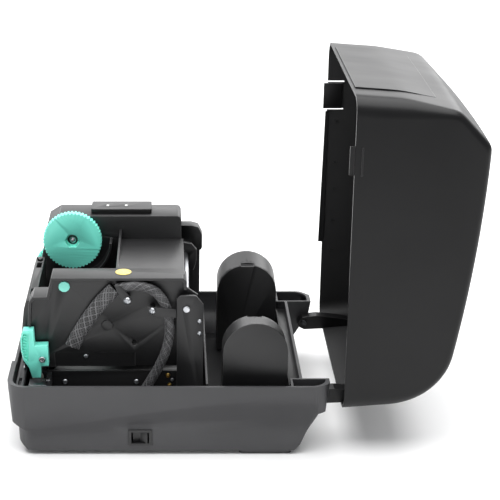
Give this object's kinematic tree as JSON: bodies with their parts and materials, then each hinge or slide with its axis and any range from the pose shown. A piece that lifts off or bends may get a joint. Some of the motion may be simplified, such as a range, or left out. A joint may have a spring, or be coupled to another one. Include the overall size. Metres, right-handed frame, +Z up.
{
  "type": "thermal label printer",
  "caption": "Desktop thermal transfer label printer with an open clamshell lid, lifting print module, ribbon spindles and sliding media holders.",
  "frame": {"origin": "middle of the base's footprint, on the surface that the printer stands on", "axes": "+X is the side with the power switch, -Y the front where labels come out, +Z up"},
  "size_m": [0.2214, 0.4141, 0.3305],
  "materials": {
    "grey_housing": "fine moulded texture",
    "black_shell": "satin black",
    "mechanism_black": "fine moulded texture",
    "mint_plastic": "semi-gloss moulded",
    "gear_white": "natural acetal",
    "steel": "plated steel",
    "brass": "turned",
    "rubber": "ground rubber",
    "braid": "braided sleeve",
    "clamp_black": "moulded",
    "motor_black": "black painted steel",
    "board_green": "solder mask",
    "socket_metal": "stamped tin plate",
    "label_yellow": "printed paper label",
    "lens_clear": "clear lens"
  },
  "bodies": {
    "base": {"base_housing": "grey_housing", "rubber_feet": "rubber", "front_trim": "mechanism_black", "tear_bar": "steel", "chassis_frame": "mechanism_black", "paper_deck": "mechanism_black", "media_sensor": "clamp_black", "platen_bushings": "brass", "stepper_motor": "motor_black", "right_pivot_plate": "mechanism_black", "left_pivot_plate": "steel", "pivot_shaft": "steel", "frame_screws": "steel", "catch_bar": "steel", "latch_catch": "mint_plastic", "media_tray": "mechanism_black", "board_standoffs": "brass", "main_board": "board_green", "power_inlet": "clamp_black", "usb_socket": "clamp_black", "network_socket": "socket_metal", "switch_body": "mechanism_black", "hinge_pins": "steel"},
    "lid": {"lid_shell": "black_shell", "lid_front_panel": "black_shell", "lid_tabs": "black_shell", "indicator_lens": "lens_clear", "panel_board": "board_green"},
    "feed_button": {"feed_button": "clamp_black"},
    "print_module": {"module_frame": "mechanism_black", "gear_housing": "mechanism_black", "pivot_cover": "mechanism_black", "housing_block": "mechanism_black", "module_nose": "mechanism_black", "printhead": "steel", "head_bracket": "steel", "head_springs": "steel", "lever_screw": "steel", "spool_disc": "label_yellow", "harness_rear": "braid", "harness_front": "braid", "harness_clamps": "clamp_black", "module_screws": "steel"},
    "release_lever": {"release_lever": "mint_plastic"},
    "ribbon_rewind": {"rewind_wheel": "mint_plastic", "rewind_spindle": "mechanism_black", "rewind_gear": "gear_white", "wheel_screw": "steel"},
    "rewind_hub": {"ribbon_hub": "mint_plastic"},
    "rewind_idler": {"rewind_idler": "mint_plastic"},
    "ribbon_supply": {"supply_spindle": "mechanism_black"},
    "platen": {"platen_roller": "rubber", "platen_shaft": "steel", "platen_gear": "gear_white"},
    "drive_idler": {"drive_idler": "gear_white"},
    "motor_rotor": {"motor_pinion": "brass"},
    "holder_right": {"media_holder_right": "mechanism_black"},
    "holder_left": {"media_holder_left": "mechanism_black"},
    "holder_pinion": {"holder_pinion": "mechanism_black"},
    "rocker": {"switch_rocker": "clamp_black"}
  },
  "joints": [
    {"name": "lid_hinge", "type": "hinge", "parent": "base", "child": "lid", "pos_m": [0, 0.1357, 0.0496], "axis": [1, 0, 0], "range_deg": [0, 90]},
    {"name": "feed_button_press", "type": "slide", "parent": "lid", "child": "feed_button", "axis": [0, -1, 0], "range_m": [0, 0.0015], "stiffness_N_per_m": 400},
    {"name": "module_lift", "type": "hinge", "parent": "base", "child": "print_module", "pos_m": [0, 0.0157, 0.1239], "axis": [1, 0, 0], "range_deg": [-35, 0]},
    {"name": "lever_release", "type": "hinge", "parent": "print_module", "child": "release_lever", "pos_m": [0.06, -0.1149, 0.0753], "axis": [-1, 0, 0], "range_deg": [-16, 0], "stiffness_Nm_per_rad": 0.4},
    {"name": "rewind_turn", "type": "hinge", "parent": "print_module", "child": "ribbon_rewind", "pos_m": [0, -0.094, 0.142], "axis": [1, 0, 0], "continuous": true},
    {"name": "rewind_idler_turn", "type": "hinge", "parent": "print_module", "child": "rewind_idler", "pos_m": [0, -0.11201, 0.10741], "axis": [1, 0, 0], "continuous": true},
    {"name": "rewind_hub_turn", "type": "hinge", "parent": "print_module", "child": "rewind_hub", "pos_m": [0, -0.094, 0.142], "axis": [1, 0, 0], "continuous": true},
    {"name": "supply_turn", "type": "hinge", "parent": "print_module", "child": "ribbon_supply", "pos_m": [0, -0.056, 0.104], "axis": [1, 0, 0], "continuous": true},
    {"name": "platen_turn", "type": "hinge", "parent": "base", "child": "platen", "pos_m": [0, -0.121, 0.05], "axis": [1, 0, 0], "continuous": true},
    {"name": "drive_idler_turn", "type": "hinge", "parent": "base", "child": "drive_idler", "pos_m": [0, -0.09501, 0.03133], "axis": [1, 0, 0], "continuous": true},
    {"name": "motor_turn", "type": "hinge", "parent": "base", "child": "motor_rotor", "pos_m": [0, -0.06622, 0.02789], "axis": [1, 0, 0], "continuous": true},
    {"name": "holder_right_slide", "type": "slide", "parent": "base", "child": "holder_right", "axis": [-1, 0, 0], "range_m": [0, 0.046]},
    {"name": "holder_left_slide", "type": "slide", "parent": "base", "child": "holder_left", "axis": [1, 0, 0], "range_m": [0, 0.046]},
    {"name": "holder_pinion_turn", "type": "hinge", "parent": "base", "child": "holder_pinion", "pos_m": [0, 0.077, 0.0171], "axis": [0, 0, 1], "range_deg": [0, 294]},
    {"name": "power_rock", "type": "hinge", "parent": "base", "child": "rocker", "pos_m": [0.1062, -0.0258, 0.01715], "axis": [0, 0, 1], "range_deg": [0, 16]}
  ],
  "couplings": [
    {"joint": "rewind_idler_turn", "follows": "rewind_turn", "ratio": -0.95},
    {"joint": "drive_idler_turn", "follows": "platen_turn", "ratio": -0.6},
    {"joint": "motor_turn", "follows": "platen_turn", "ratio": 1.3333},
    {"joint": "holder_left_slide", "follows": "holder_right_slide", "ratio": 1},
    {"joint": "holder_pinion_turn", "follows": "holder_right_slide", "rad_per_m": 111.11}
  ]
}
